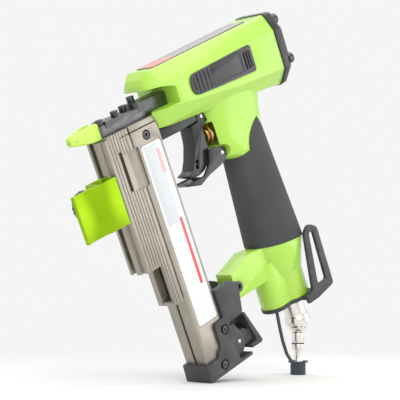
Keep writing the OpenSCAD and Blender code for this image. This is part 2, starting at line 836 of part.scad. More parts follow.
module nose_tip() {
    color(green)
    stand()
    difference() {
        loft([tip_ring(0, 2.6, -1.8, 2.4, 1), tip_ring(1.5, 3.6, -2.8, 3.6, 1.6), tip_ring(9, 4.8, -4.6, 5, 1.8),
            tip_ring(16, 5.8, -5.8, 5.8, 1.8), tip_ring(nose_front_x - 0.1, 6.3, -6.5, 5.8, 1.8)]);
        loft([nozzle_ring(nozzle_x - 0.2, 1.95, 1.75), nozzle_ring(9, 2.55, 2.55), nozzle_ring(nose_front_x + 0.5, 2.55, 2.55)]);
        bar_x(-1, 4, channel_d / 2);
        block([11.5, -3.1, 2.6], [nose_front_x + 1, 3.1, 9]);
        bar_y(-8, 8, 0.6, 4, 0);
        block([16, -4, -8], [nose_front_x + 1, 4, -4.6]);
    }
}

// ---- Lock-out ----

lockout_x = mag_rear_x + 1;
lockout_end_x = trigger_x - 7.4;
lockout_top_z = -17.2;
lockout_low_z = -24.8;

module lockout_housing() {
    color(black)
    stand()
    difference() {
        across(-8, 8)
            polygon([[lockout_x, lockout_top_z - seat_gap], [lockout_end_x, lockout_top_z - seat_gap],
                [lockout_end_x, lockout_low_z + 1.4], [lockout_end_x - 17, lockout_low_z], [lockout_x, lockout_low_z]]);
        block([lockout_x - 1, -3.1, -22.6], [lockout_end_x + 1, 3.1, -18.9]);
    }
}

module lockout_slide() {
    color(steel)
    stand()
    block([lockout_x + 3, -3, -22.5], [lockout_end_x - 2.5, 3, -19]);
}

// ---- Magazine ----

module pin_slot() {
    translate([cover_front_x + 5.5, -pin_slot_hw])
        square([54.5 - cover_front_x - 5.5, 2 * pin_slot_hw]);
}

// T rail on which the cover slides
rail_spots = [-8.6, 3.2];
module rail_section(gap) {
    translate([mag_front_x - 6 - gap, -1.2 - gap])
        square([1.6 + 2 * gap, 2.4 + 2 * gap]);
    translate([mag_front_x - 5, -0.7 - gap])
        square([6, 1.4 + 2 * gap]);
}

module magazine_body() {
    color(champagne)
    stand()
    difference() {
        union() {
            magazine_extrusion();
            for (y = rail_spots)
                translate([0, y, 0])
                    upright(cover_low_z + 1.5, cover_top_z - 6)
                        rail_section(0);
        }
        // Shallow seat of the label and recess of the screw
        block([48.6, -mag_hw - 1, -158], [68.6, -mag_hw + 0.4, -21.2]);
        for (p = screw_spots) {
            bar_y(-mag_hw - 1, -bracket_screw_y + 0.2, 1.25 + seat_gap, p[0], p[1]);
            bar_y(bracket_screw_y - 0.2, mag_hw + 1, 1.25 + seat_gap, p[0], p[1]);
        }
        bar_y(-mag_hw - 1, -mag_hw + 3, 3.6, mag_screw_at[0], mag_screw_at[1]);
        bar_y(-mag_hw, mag_hw + 1, 1.5 + seat_gap, mag_screw_at[0], mag_screw_at[1]);
        window_cut();
    }
}

module magazine_extrusion() {
    upright(mag_low_z, mag_top_z)
        difference() {
            polygon(rounded([[mag_front_x, -mag_hw, 0.6], [mag_rear_x, -mag_hw, 1.5], [mag_rear_x, mag_hw, 1.5],
                [mag_front_x, mag_hw, 0.6]], 3));
            pin_slot();
            translate([mag_front_x - 1, -1.2])
                square([3.5, 2.4]);
            polygon(rounded([[57.5, -7.5, 1], [68.2, -7.5, 1], [68.2, 7.5, 1], [57.5, 7.5, 1]], 2));
        }
}

mag_screw_at = [57.6, -15.4];

// Sight window across the seam, with its dark slot in front
module window_cut() {
    across(-mag_hw - 1, -mag_hw + 1.6)
        polygon(rounded([[33.5, -20, 3], [47, -20, 0.8], [47, -48, 0.8], [33.5, -48, 3]]));
}

module magazine_bar() {
    color(champagne)
    stand()
    difference() {
        block([mag_front_x, -mag_hw, bar_low_z], [mag_rear_x, mag_hw, nose_low_z - seat_gap]);
        upright(-20, 0) pin_slot();
    }
}

module magazine_screw() {
    color(black)
    stand()
    translate([mag_screw_at[0], mag_hw - 0.4, mag_screw_at[1]])
        rotate([90, 0, 0])
            socket_screw(3, 2 * mag_hw - 0.4 - 3 + seat_gap, 5.6, 2.6, 2.5);
}

module magazine_label() {
    color("white")
    stand()
    across(-mag_hw - 0.05, -mag_hw + 0.35)
        polygon(rounded([[49, -157.5, 2], [68.2, -157.5, 2], [68.2, -21.6, 2], [49, -21.6, 2]]));
}

// Section of the sliding cover: front grooves, pin slot and pusher cavity
module cover_section(front) {
    difference() {
        polygon([[front, -mag_hw + 5], [front, cover_far_y], [cover_rear_x, cover_far_y], [cover_rear_x, -mag_hw],
            [front + 2.4, -mag_hw], [front + 2.4, -mag_hw + 5]]);
        pin_slot();
        for (i = [0:6])
            translate([cover_front_x + 5 + 2.6 * i, -mag_hw - 0.01])
                square([0.8, 0.36]);
    }
}

module cover_cavity() {
    block([26, -6.6, cover_low_z + 2.5], [40, -pin_slot_hw + 0.1, -8]);
}

module guide_slot() {
    translate([cover_front_x - 1, -1.2])
        square([2.4, 4.4]);
    translate([cover_front_x + 1.2, -2])
        square([2.1, 6]);
}

module magazine_cover() {
    color(champagne)
    stand()
    difference() {
        union() {
            upright(cover_step_z, cover_top_z)
                difference() {
                    cover_section(cover_front_x);
                    guide_slot();
                }
            upright(cover_low_z, cover_step_z + 0.01)
                cover_section(cover_step_x);
        }
        cover_cavity();
        window_cut();
        block([0, -mag_hw - 1, nose_low_z - 2], [nose_front_x + 0.3, mag_hw, 0]);
        for (y = rail_spots)
            translate([0, y, 0])
                upright(mag_low_z, cover_top_z + 1)
                    rail_section(run_gap);
        // Saw cut near the top and dark slot beside the window
        block([34.5, -mag_hw - 1, -9.6], [mag_front_x, -mag_hw + 2, -8.9]);
        across(-mag_hw - 1, -6.5)
            polygon(rounded([[29, -18, 1.2], [31.6, -18, 1.2], [31.6, -47, 1.2], [29, -47, 1.2]]));
        bar_x(24.4, cover_rear_x + 1, 1.1 + seat_gap, roll_at[0], roll_at[1]);
        block([23.4, -pin_slot_hw - 0.2, cover_low_z + 2.5], [26.5, pin_slot_hw, -8]);
    }
}

module pin_strip() {
    color(steel)
    stand()
    block([pin_x, -pin_t / 2, strip_low_z], [54, pin_t / 2, strip_top_z]);
}

roll_at = [-3.5, -13];
module pusher() {
    color(steel)
    stand() {
        block([pin_x, -pin_t / 2, pusher_z - pusher_h], [54, pin_t / 2, pusher_z]);
        block([26.4, -6.3, pusher_z - pusher_h], [39.6, -pin_t / 2, pusher_z]);
        block([30, -6.45, pusher_z - 3], [36, -6.3, roll_at[1]]);
    }
}

module pusher_roll() {
    color(steel)
    stand()
    difference() {
        bar_x(30, 36, 2.7, roll_at[0], roll_at[1]);
        bar_x(29, 37, 1.1 + seat_gap, roll_at[0], roll_at[1]);
    }
}

module roll_axle() {
    color(steel)
    stand()
    bar_x(24.5, cover_rear_x - 0.3, 1.1, roll_at[0], roll_at[1]);
}

// ---- Bracket and release lever ----

bracket_screw_y = 8;
arm_bolt_at = [99, -149];
arm_bolt_d = 4;
screw_spots = [[69, -169], [58.8, -192]];

release_hw = 8;
release_pin_d = 3;
release_cheek_y = 9.8;

module ear_outline() {
    polygon(rounded([[mag_rear_x + 0.3, -139.4, 1], [88, -139.4, 4], [95.4, -143.4, 2], [91.2, -162.8, 2],
        [90, -166, 0.5], [74.9, -166, 0.5], [74.9, -196, 0.5], [88.4, -195.8, 1], [88, foot_z, 1.5],
        [foot_x, foot_z, foot_r], [foot_x + 0.8, -185.2, 1], [55, -185.2, 1], [57.3, -180.9, 2], [60.2, -179.4, 1.5],
        [61.2, -161, 1.5], [mag_rear_x + 0.3, -160.4, 1]]));
}

module end_bracket() {
    color(black)
    stand()
    difference() {
        union() {
            both_sides(mag_hw + 0.1, bracket_hw)
                ear_outline();
            // Thicker ears round the arm, the rear wall and the foot
            both_sides(8 + run_gap, mag_hw + 0.2)
                intersection() {
                    ear_outline();
                    translate([mag_rear_x + 0.2, -166])
                        square([30, 30]);
                }
            block([mag_rear_x + 0.2, -mag_hw - 0.2, -196.5], [74.9, mag_hw + 0.2, -139.6]);
            across(-mag_hw - 0.2, mag_hw + 0.2)
                polygon(rounded([[foot_x, foot_z, foot_r], [foot_x + 0.8, mag_low_z - seat_gap, 0.6],
                    [mag_rear_x + 1, mag_low_z - seat_gap, 0], [mag_rear_x + 1, -196, 0], [88.4, -196, 1],
                    [88, foot_z, 1.5]]));
            across(-mag_hw - 0.2, mag_hw + 0.2)
                polygon([[74, -166], [90, -166], [91.2, -162.8], [91.6, -160], [74, -160]]);
            // Cheeks that carry the release lever's pin
            both_sides(release_hw + run_gap, release_cheek_y)
                polygon(rounded([[74, -194.5, 0], [82, -193.5, 1], [86.5, release_z - 4, 2], [86.5, release_z + 4, 2],
                    [80.5, -170, 1], [74, -171, 0]]));
        }
        for (p = screw_spots) {
            bar_y(-bracket_hw - 1, -bracket_hw + 1.2, 4, p[0], p[1]);
            bar_y(bracket_hw - 1.2, bracket_hw + 1, 4, p[0], p[1]);
            bar_y(-bracket_hw - 1, bracket_hw + 1, 1.3, p[0], p[1]);
        }
        bar_y(-bracket_hw - 1, bracket_hw + 1, release_pin_d / 2 + seat_gap, release_x, release_z);
    }
}

module bracket_screws() {
    color(steel)
    stand()
    for (p = screw_spots, s = [-1, 1])
        translate([p[0], s * bracket_screw_y, p[1]])
            rotate([-90 * s, 0, 0])
                socket_screw(2.5, bracket_hw - 1.2 + seat_gap - bracket_screw_y, 5, 1.6, 2);
}

module arm_bolt() {
    color(black)
    stand()
    translate([arm_bolt_at[0], 8, arm_bolt_at[1]])
        rotate([90, 0, 0])
            socket_screw(arm_bolt_d, 13 + seat_gap, 8, 3.6, 4);
}

module release_lever() {
    color(black)
    stand()
    difference() {
        union() {
            bar_y(-release_hw, release_hw, 4, release_x, release_z);
            across(-release_hw, release_hw)
                polygon([[release_x, release_z + 4], [90, -178], [96, -182], [98.6, -190], [90, -191], [release_x, release_z - 4]]);
            across(-11.4, 11.4)
                polygon(rounded([[91.6, -167.4, 0.6], [93.6, -166.6, 0.8], [103, -193.4, 1.5], [101.5, -195, 1.5],
                    [90.5, -194.6, 1], [90.2, -192, 1], [97.4, -191.4, 2]]));
        }
        bar_y(-bracket_hw, bracket_hw, release_pin_d / 2 + run_gap, release_x, release_z);
    }
}

module release_pin() {
    color(steel)
    stand()
    bar_y(-release_cheek_y - 0.4, release_cheek_y + 0.4, release_pin_d / 2, release_x, release_z);
}

// ---- Edge guide ----

tube_x = 2;
tube_rear_x = cover_front_x - 1;
panel_y = -14;
tube_far_y = 1;
knob_at = [6.4, guide_top_z - guide_h * 0.46];

module edge_guide() {
    color(green)
    stand()
    difference() {
        upright(guide_low_z, guide_top_z)
            difference() {
                polygon([[tube_rear_x, panel_y], [tube_x, panel_y], [-5, panel_y + 2.5],
                    [guide_front_x + 1.6, panel_y + 2.5], [guide_front_x + 1.6, panel_y + 1.9],
                    [guide_front_x, panel_y + 1.9], [guide_front_x, panel_y + 2.5 + guide_wall],
                    [-5, panel_y + 2.5 + guide_wall], [tube_x, panel_y + guide_wall + 0.4],
                    [tube_x, tube_far_y], [tube_rear_x, tube_far_y]]);
                translate([tube_x + 1.3, panel_y + guide_wall])
                    square([tube_rear_x - tube_x - 2.6, tube_far_y - panel_y - guide_wall - 1.6]);
            }
        bar_y(-2, 3, 2 + seat_gap, knob_at[0], knob_at[1]);
    }
}

module guide_clamp() {
    color(black)
    stand() {
        block([tube_rear_x + seat_gap, -1.05, guide_low_z + 4], [cover_front_x + 1.4, 3.05, guide_top_z - 3]);
        block([cover_front_x + 1.35, -1.85, guide_low_z + 4], [cover_front_x + 3.15, 3.85, guide_top_z - 3]);
    }
}

module guide_knob() {
    color(black)
    stand()
    difference() {
        union() {
            bar_y(7, 15, knob_r, knob_at[0], knob_at[1]);
            bar_y(-3, 8, 2, knob_at[0], knob_at[1]);
            bar_y(1.3, 8, 4.5, knob_at[0], knob_at[1]);
        }
        for (i = [0:17])
            translate([knob_at[0], 0, knob_at[1]])
                rotate([0, 20 * i, 0])
                    translate([knob_r + 0.5, 0, 0])
                        bar_y(6, 16, 1);
    }
}

// ---- Belt hook ----

ring_z = handle_low_z - seat_gap;
ring_t = 3;
hook_screw_spots = [[grip_x + 9, 6.5], [grip_x + 9, -6.5], [lobe_x - 3, 0]];

module belt_hook() {
    color(black)
    stand()
    difference() {
        union() {
            upright(ring_z - ring_t, ring_z)
                union() {
                    translate([grip_x, 0])
                        circle(r = pillar_r + 0.4);
                    translate([lobe_x, 0])
                        circle(r = lobe_r + 0.4);
                    translate([lobe_x, -lobe_r - 0.4])
                        square([grip_x - lobe_x, 2 * lobe_r + 0.8]);
                }
            block([grip_x - 4, hook_y, ring_z - ring_t], [grip_x + 12, -8, ring_z]);
            across(hook_y, hook_y + hook_t)
                difference() {
                    polygon(rounded([[167.5, -136.5, 4], [174.5, -131.5, 5], [183, -137, 5],
                        [hook_low[0] + hook_corner_r, hook_low[1], hook_corner_r],
                        [grip_x + 8, hook_low[1] - hook_corner_r, 1], [grip_x - 4, hook_low[1] - hook_corner_r, 1],
                        [grip_x - 4, ring_z - 1, 1], [grip_x + 4, ring_z + 2, 2]]));
                    hook_slot();
                }
        }
        bar_z(ring_z - 10, ring_z + 1, 6.6 + 0.1, grip_x);
        for (p = hook_screw_spots)
            bar_z(ring_z - 10, ring_z + 1, 1.7, p[0], p[1]);
    }
}

module hook_slot() {
    polygon(rounded([[172.5, -138, 2.2], [177.5, -138, 2.2], [176.5, -178, 2.2], [166, -178, 2.2]]));
}

module hook_screws() {
    color(steel)
    stand()
    for (p = hook_screw_spots)
        translate([p[0], p[1], handle_low_z + 8])
            rotate([180, 0, 0])
                socket_screw(3, 8 + ring_t + 2 * seat_gap, 5.4, 1.8, 2);
}

// ---- Swivel, plug and dust cap ----

// Moves a piece drawn at the ball's centre to the handle; the plug's own axis then hangs straight down
module at_ball() {
    translate([grip_x, 0, ball_z])
        children();
}
module plumb() {
    at_ball()
        rotate([0, lean, 0])
            children();
}

socket_low = -0.9;
module swivel_socket() {
    color(steel)
    stand() {
        at_ball()
            difference() {
                union() {
                    sphere(d = shell_d);
                    cylinder(d = shell_d - 4, h = ring_z - ring_t - ball_z - 0.1);
                    cylinder(r = air_bore / 2 - seat_gap, h = handle_low_z - ball_z + 9);
                }
                sphere(r = ball_d / 2 + run_gap);
                translate([0, 0, -20 + socket_low])
                    cylinder(r = 20, h = 20);
                cylinder(r = 3, h = 60);
            }
    }
}

skirt_z = -5.9;
collar_top = -9;
collar_low = -22.6;
neck_d = 5.9;
module swivel_ball() {
    color(steel)
    stand()
    plumb()
        difference() {
            union() {
                sphere(d = ball_d);
                difference() {
                    sphere(d = shell_d);
                    translate([0, 0, skirt_z])
                        cylinder(r = 20, h = 40);
                }
            }
            cylinder(r = 2, h = 40, center = true);
            translate([0, 0, -20])
                cylinder(d = collar_d - 2, h = 20 + collar_top + 2);
        }
}

module air_plug() {
    color(steel)
    stand()
    plumb()
        difference() {
            union() {
                translate([0, 0, collar_top - 2])
                    cylinder(d = collar_d - 2 - 2 * run_gap, h = 3.9);
                translate([0, 0, collar_low])
                    cylinder(d = collar_d, h = collar_top - 0.7 - collar_low);
                translate([0, 0, -29.5])
                    cylinder(d = neck_d, h = 10);
                translate([0, 0, -39])
                    rotate_extrude()
                        polygon([[0, 0], [3.2, 0], [4, 1.2], [4, 6.5], [neck_d / 2, 9.6], [0, 9.6]]);
            }
            translate([0, 0, -50])
                cylinder(r = 1.8, h = 50);
            translate([0, 0, -18])
                rotate_extrude()
                    translate([collar_d / 2 - 0.5, -0.4])
                        square([2, 0.8]);
        }
}

module plug_ring() {
    color(black)
    stand()
    plumb()
        translate([0, 0, -18])
            rotate_extrude()
                translate([collar_d / 2 - 0.12, 0])
                    circle(r = 0.34, $fn = 14);
}

flange_z = -31.4;
module dust_cap() {
    color(black)
    stand()
    plumb()
        difference() {
            union() {
                translate([0, 0, -plug_len])
                    cylinder(d = cap_d, h = plug_len + flange_z);
                translate([0, 0, flange_z - 1.2])
                    cylinder(d = 15.4, h = 1.2);
                translate([5.5, -1.6, flange_z - 1.2])
                    cube([4.6, 3.2, 1.2]);
            }
            translate([0, 0, -39.4])
                cylinder(r = 4.1, h = 40);
        }
}

strap_points = [[-30.4, -6, 6.6], [-27.5, -6, -4], [-24, -6, -15], [-19.5, -6, -25], [-14, -5.4, -30.5], [-7.3, -4.2, -32]];
strap_r = 1.3;

// Rings square to the strap's own run
function strap_ring(i) =
    let (a = strap_points[max(i - 1, 0)], b = strap_points[min(i + 1, len(strap_points) - 1)], t = unit(b - a))
    let (u = unit(cross([0, 1, 0], t)), v = cross(t, u))
    [for (j = [0:7]) strap_points[i] + strap_r * (u * cos(45 * j) + v * sin(45 * j))];

module tether_strap() {
    color(black)
    stand()
    plumb()
        loft([for (i = [0:len(strap_points) - 1]) strap_ring(i)]);
}

housing();
cylinder_liner();
bumper();
driver_piston();
piston_ring();
head_valve();
head_valve_spring();
rear_cap();
cap_gasket();
cap_screws();
top_strip();
side_plates();
grip_sleeve();
belt_hook();
hook_screws();
swivel_socket();
swivel_ball();
air_plug();
plug_ring();
dust_cap();
tether_strap();
trigger();
trigger_pin();
safety_lever();
lever_pin();
valve_body();
valve_stem();
valve_spring();
nose_base();
nose_plate();
nose_blade();
nose_screws();
nose_tip();
lockout_housing();
lockout_slide();
magazine_body();
magazine_bar();
magazine_screw();
magazine_label();
magazine_cover();
pin_strip();
pusher();
pusher_roll();
roll_axle();
end_bracket();
bracket_screws();
arm_bolt();
release_lever();
release_pin();
edge_guide();
guide_clamp();
guide_knob();
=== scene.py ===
# %% [markdown]
# # Dressing a pneumatic pin nailer
# The pieces of this tool already exist as exact solids, each on the body that it moves with. This
# lesson gives them what a drawing leaves out: eased edges, and finishes with the grain of powder
# coat, anodised extrusion, rubber and ground steel.

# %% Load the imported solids
import json
import math

import bmesh
import bpy
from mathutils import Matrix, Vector


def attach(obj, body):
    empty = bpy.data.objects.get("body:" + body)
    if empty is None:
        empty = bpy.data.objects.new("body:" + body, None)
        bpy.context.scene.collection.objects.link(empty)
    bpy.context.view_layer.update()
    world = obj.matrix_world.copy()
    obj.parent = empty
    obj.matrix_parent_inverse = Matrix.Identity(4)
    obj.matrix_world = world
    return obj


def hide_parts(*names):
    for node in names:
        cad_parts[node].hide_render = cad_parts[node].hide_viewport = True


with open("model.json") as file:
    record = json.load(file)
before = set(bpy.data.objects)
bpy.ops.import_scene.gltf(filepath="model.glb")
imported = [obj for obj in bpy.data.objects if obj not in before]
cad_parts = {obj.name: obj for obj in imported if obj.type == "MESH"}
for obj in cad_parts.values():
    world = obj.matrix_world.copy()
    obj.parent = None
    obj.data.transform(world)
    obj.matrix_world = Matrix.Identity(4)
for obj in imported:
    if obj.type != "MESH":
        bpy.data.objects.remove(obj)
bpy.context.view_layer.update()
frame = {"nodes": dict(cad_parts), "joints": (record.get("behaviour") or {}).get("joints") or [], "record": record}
joints = {joint["name"]: joint for joint in frame["joints"]}
print("solids:", len(frame["nodes"]), "joints:", len(joints))

# %% [markdown]
# ## The tool's own directions
# The tool leans back on two feet, so a size along the barrel is not a size along X. It is easier to
# think the way its maker does: x runs back from the nose tip along the path of the pin, z runs up
# from that path, and y runs to the far side. The driver's joint gives the first direction and the
# trigger's pivot gives a known point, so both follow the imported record.

# %% From the drive line to the world
MM = 0.001
# The trigger's pivot in the tool's own axes, in millimetres
TRIGGER_PIVOT = (116.9, 0.0, -22.5)
backwards = -Vector(joints["driver_stroke"]["axis"])
far_side = Vector((0, 1, 0))
upwards = backwards.cross(far_side)


def along(x, y, z):
    """A direction or an offset in the tool's own axes, in millimetres, as a world vector in metres."""
    return (backwards * x + far_side * y + upwards * z) * MM


nose_point = Vector(joints["trigger_pull"]["pos_m"]) - along(*TRIGGER_PIVOT)
lean = math.asin(backwards.z)


def spot(x, y, z):
    """A point given in the tool's own axes, in millimetres, as a world point in metres."""
    return nose_point + along(x, y, z)


print("the tool leans", round(math.degrees(lean), 2), "degrees")

# %% [markdown]
# ## The camera
# A long lens, almost level and slightly below the middle of the tool, looks at it from the front
# quarter. The distance comes from how much the far edges shrink, and the lens then fills the frame.

# %% Place the camera
AZIMUTH, ELEVATION = math.radians(316.0), math.radians(-3.2)
DISTANCE = 0.9386
SENSOR_WIDTH, FOCAL_LENGTH = 36, 117
view_centre = spot(96, 0, -79)
towards_camera = Vector((
    math.sin(AZIMUTH) * math.cos(ELEVATION),
    -math.cos(AZIMUTH) * math.cos(ELEVATION),
    math.sin(ELEVATION)))
camera_data = bpy.data.cameras.new("studio_camera")
camera_data.sensor_width = SENSOR_WIDTH
camera_data.lens = FOCAL_LENGTH
camera = bpy.data.objects.new("studio_camera", camera_data)
bpy.context.collection.objects.link(camera)
camera.location = view_centre + towards_camera * DISTANCE
camera.rotation_mode = "QUATERNION"
camera.rotation_quaternion = (-towards_camera).to_track_quat("-Z", "Y")
bpy.context.scene.camera = camera
print("camera height:", round(camera.location.z, 3), "m")

# %% [markdown]
# ## Making nodes by hand and by sum
# Every finish is a small tree of nodes. One class makes a node in one line, and a second one wraps
# a node's output so that ordinary sums add the Math nodes. The same maker serves the world.

# %% Two small classes for node trees


class Signal:
    """A node's output that can be used in a sum."""

    def __init__(self, maker, socket):
        self.maker, self.socket = maker, socket

    def math(self, operation, *values):
        return self.maker.add("ShaderNodeMath", {"operation": operation}, dict(enumerate(values)))

    def __add__(self, other):
        return self.math("ADD", self, other)

    __radd__ = __add__

    def __mul__(self, other):
        return self.math("MULTIPLY", self, other)

    __rmul__ = __mul__

    def __sub__(self, other):
        return self.math("SUBTRACT", self, other)

    def __rsub__(self, other):
        return self.math("SUBTRACT", other, self)

    def __pow__(self, other):
        return self.math("POWER", self, other)

    def __abs__(self):
        return self.math("ABSOLUTE", self)

    def __mod__(self, other):
        return self.math("FLOORED_MODULO", self, other)

    def most(self, other):
        return self.math("MAXIMUM", self, other)

    def ramp(self, low, high, start=0.0, end=1.0):
        """Runs smoothly from start to end while the signal goes from low to high."""
        return self.maker.add("ShaderNodeMapRange", {"interpolation_type": "SMOOTHSTEP"},
            {"Value": self, "From Min": low, "From Max": high, "To Min": start, "To Max": end})


class Maker:
    """Makes nodes in one tree."""

    def __init__(self, tree):
        self.tree = tree

    def add(self, kind, settings=None, inputs=None, output=0):
        node = self.tree.nodes.new(kind)
        for name, value in (settings or {}).items():
            setattr(node, name, value)
        for name, value in (inputs or {}).items():
            self.feed(node.inputs[name], value)
        return Signal(self, node.outputs[output])

    def blend(self, factor, first, second):
        """A colour that goes from first to second as the factor goes from 0 to 1."""
        return self.add("ShaderNodeMix", {"data_type": "RGBA"}, {0: factor, 6: first, 7: second}, output=2)

    def feed(self, socket, value):
        if isinstance(value, Signal):
            self.tree.links.new(value.socket, socket)
        else:
            socket.default_value = value


# %% [markdown]
# ## The finish class
# Patterns are thought of in millimetres in the tool's own axes, so that brushing runs along an
# extrusion although the tool leans. A Mapping node turns and scales the Object coordinates once.

# %% A finish and its coordinates


class Finish(Maker):
    """A procedural material whose patterns are laid out in millimetres along the tool."""

    def __init__(self, name):
        self.material = bpy.data.materials.new(name)
        self.material.use_nodes = True
        super().__init__(self.material.node_tree)
        self.tree.nodes.clear()
        place = self.add("ShaderNodeTexCoord", output="Object")
        self.place = self.add("ShaderNodeMapping", {"vector_type": "TEXTURE"}, {
            "Vector": place, "Location": nose_point, "Rotation": (0, -lean, 0), "Scale": (MM, MM, MM)})
        split = self.tree.nodes.new("ShaderNodeSeparateXYZ")
        self.feed(split.inputs[0], self.place)
        self.x, self.y, self.z = (Signal(self, socket) for socket in split.outputs)

    def stretched(self, sx, sy, sz):
        """The place with each axis scaled: a small factor draws a pattern out along that axis."""
        return self.add(
            "ShaderNodeVectorMath", {"operation": "MULTIPLY"}, {0: self.place, 1: (sx, sy, sz)})

    def noise(self, size, detail=2.0, rough=0.5, place=None):
        """Cloudy values from 0 to 1 whose blotches are about size millimetres across."""
        return self.add("ShaderNodeTexNoise", None, {
            "Vector": place or self.place, "Scale": 1 / size, "Detail": detail, "Roughness": rough})

    def pebbles(self, size):
        """The distance to the middle of the nearest soft cell, in cells about size across."""
        return self.add("ShaderNodeTexVoronoi", {"feature": "SMOOTH_F1"}, {
            "Vector": self.place, "Scale": 1 / size})

    def close(self, colour, roughness, height=None, **more):
        """Ends the tree: height is in millimetres, and more holds the shader's other sockets."""
        shader = self.tree.nodes.new("ShaderNodeBsdfPrincipled")
        self.feed(shader.inputs["Base Color"], colour)
        self.feed(shader.inputs["Roughness"], roughness)
        for name, value in more.items():
            self.feed(shader.inputs[name.replace("_", " ")], value)
        if height is not None:
            self.feed(shader.inputs["Normal"], self.add(
                "ShaderNodeBump", None, {"Strength": 1.0, "Distance": MM, "Height": height}))
        end = self.tree.nodes.new("ShaderNodeOutputMaterial")
        self.tree.links.new(shader.outputs[0], end.inputs["Surface"])
        return self.material


def grey(level):
    return (level, level, level, 1)


def brighter(colour, factor, lift):
    """The same colour, scaled and then lifted, for dust or for a rubbed patch."""
    return tuple(value * factor + lift for value in colour[:3]) + (1,)


# %% [markdown]
# ## Powder coat
# The barrel and handle are one casting under a thick glossy powder coat. Up close it flows into an
# orange peel of bumps one or two millimetres across, and a clear film over the colour gives two
# highlights: a soft one from the pigment and a sharp one from the film.

# %% Green powder coat
coat = Finish("green_powder_coat")
coat_flow = coat.noise(1.6, 1) * 0.012 + coat.noise(9, 1) * 0.03
coat_tone = coat.noise(38, 2).ramp(0.3, 0.7)
green_coat = coat.close(
    coat.blend(coat_tone, (0.375, 0.665, 0.06, 1), (0.415, 0.7, 0.075, 1)),
    coat.noise(3, 3).ramp(0.2, 0.8, 0.33, 0.42), coat_flow,
    Coat_Weight=0.55, Coat_Roughness=0.09)

# %% [markdown]
# ## Anodised aluminium
# The magazine and the edge guide are extrusions. The die leaves fine lines along their length, and
# anodising keeps them under a hard, slightly milky skin, so the metal is lit by stretched noise.

# %% Champagne and green anodising


def anodised(name, light, dark, rough, line=0.006):
    """Extruded metal: noise squeezed across the tool and stretched along its height gives die lines."""
    finish = Finish(name)
    lines = finish.noise(1.0, 3, place=finish.stretched(2.2, 2.2, 0.012))
    blotch = finish.noise(14, 2)
    tone = (lines * 0.6 + blotch * 0.4).ramp(0.3, 0.7)
    return finish.close(finish.blend(tone, dark, light), lines.ramp(0.2, 0.8, rough - 0.05, rough + 0.07),
        lines * line + finish.noise(0.35, 1) * 0.002, Metallic=0.85)


champagne = anodised("champagne_anodising", (0.4, 0.365, 0.31, 1), (0.33, 0.3, 0.255, 1), 0.4)
green_anodising = anodised("green_anodising", (0.3, 0.5, 0.004, 1), (0.25, 0.44, 0.003, 1), 0.33, 0.003)

# %% [markdown]
# ## Rubber and black coats
# Four blacks meet on this tool, and they only read as different materials if their grain differs:
# moulded rubber with a fine leather-like pebble, a satin coat on steel, matt moulded plastic, and
# the gloss of a bare name panel.

# %% Blacks


def pebbled(name, colour, size, depth, rough):
    """Moulded rubber with shallow pebbles of about the given size."""
    finish = Finish(name)
    pebbles = finish.pebbles(size).ramp(0.15, 0.6)
    dust = finish.noise(26, 4, 0.6).ramp(0.35, 0.75)
    dusty = brighter(colour, 1.35, 0.004)
    return finish.close(finish.blend(dust, colour, dusty), dust * 0.08 + rough,
        pebbles * -depth + finish.noise(0.4, 1) * 0.01)


def satin(name, colour, rough, grain=0.35, depth=0.012):
    """A sprayed or blasted black coat: a fine even grain and faint rubbed patches."""
    finish = Finish(name)
    rub = finish.noise(11, 4, 0.6).ramp(0.4, 0.8)
    rubbed = brighter(colour, 1.5, 0.003)
    return finish.close(finish.blend(rub, colour, rubbed), rough - rub * 0.07,
        finish.noise(grain, 2) * depth)


grip_rubber = pebbled("grip_rubber", (0.042, 0.042, 0.046, 1), 0.7, 0.035, 0.68)
strap_rubber = pebbled("strap_rubber", (0.035, 0.042, 0.05, 1), 0.5, 0.01, 0.5)
black_coat = satin("satin_black_coat", (0.02, 0.02, 0.022, 1), 0.36)
bracket_black = satin("blasted_black_coat", (0.036, 0.036, 0.039, 1), 0.5, 0.3, 0.02)
trigger_black = satin("polished_black_coat", (0.016, 0.016, 0.018, 1), 0.22, 0.5, 0.004)
plastic_black = satin("moulded_black_plastic", (0.05, 0.05, 0.056, 1), 0.45, 0.5, 0.01)

# %% [markdown]
# ## Steel, nickel and brass
# The nose is ground and blackened, so its lines run along the pin's path. Screws are black oxide.
# The swivel is nickel plated after turning, and turning leaves rings round its axis.

# %% Bare and plated metals


def ground(name, light, dark, rough, stretch=(0.05, 3.0, 3.0), depth=0.002):
    """Ground metal: scratches squeezed across one direction and stretched along another."""
    finish = Finish(name)
    scratches = finish.noise(1.0, 4, 0.6, place=finish.stretched(*stretch))
    stain = finish.noise(7, 3)
    return finish.close(finish.blend((scratches * 0.5 + stain * 0.5).ramp(0.3, 0.7), dark, light),
        scratches.ramp(0.2, 0.8, rough - 0.06, rough + 0.08), scratches * depth, Metallic=1.0)


nose_steel = ground("blackened_nose_steel", (0.2, 0.195, 0.205, 1), (0.125, 0.12, 0.13, 1), 0.36)
screw_black = ground("black_oxide_screws", (0.12, 0.12, 0.125, 1), (0.07, 0.07, 0.075, 1), 0.34, (2, 2, 2))
bright_steel = ground("plated_steel", (0.62, 0.61, 0.59, 1), (0.5, 0.49, 0.47, 1), 0.27, (1.5, 1.5, 1.5))
pin_steel = ground("galvanised_pins", (0.66, 0.64, 0.6, 1), (0.55, 0.53, 0.5, 1), 0.32, (0.1, 3, 3))
brass = ground("turned_brass", (0.6, 0.38, 0.13, 1), (0.42, 0.25, 0.08, 1), 0.3, (6, 0.4, 0.4), 0.004)
nickel = ground("warm_nickel_plate", (0.84, 0.8, 0.74, 1), (0.76, 0.72, 0.66, 1), 0.2, (0.6, 0.6, 0.6))

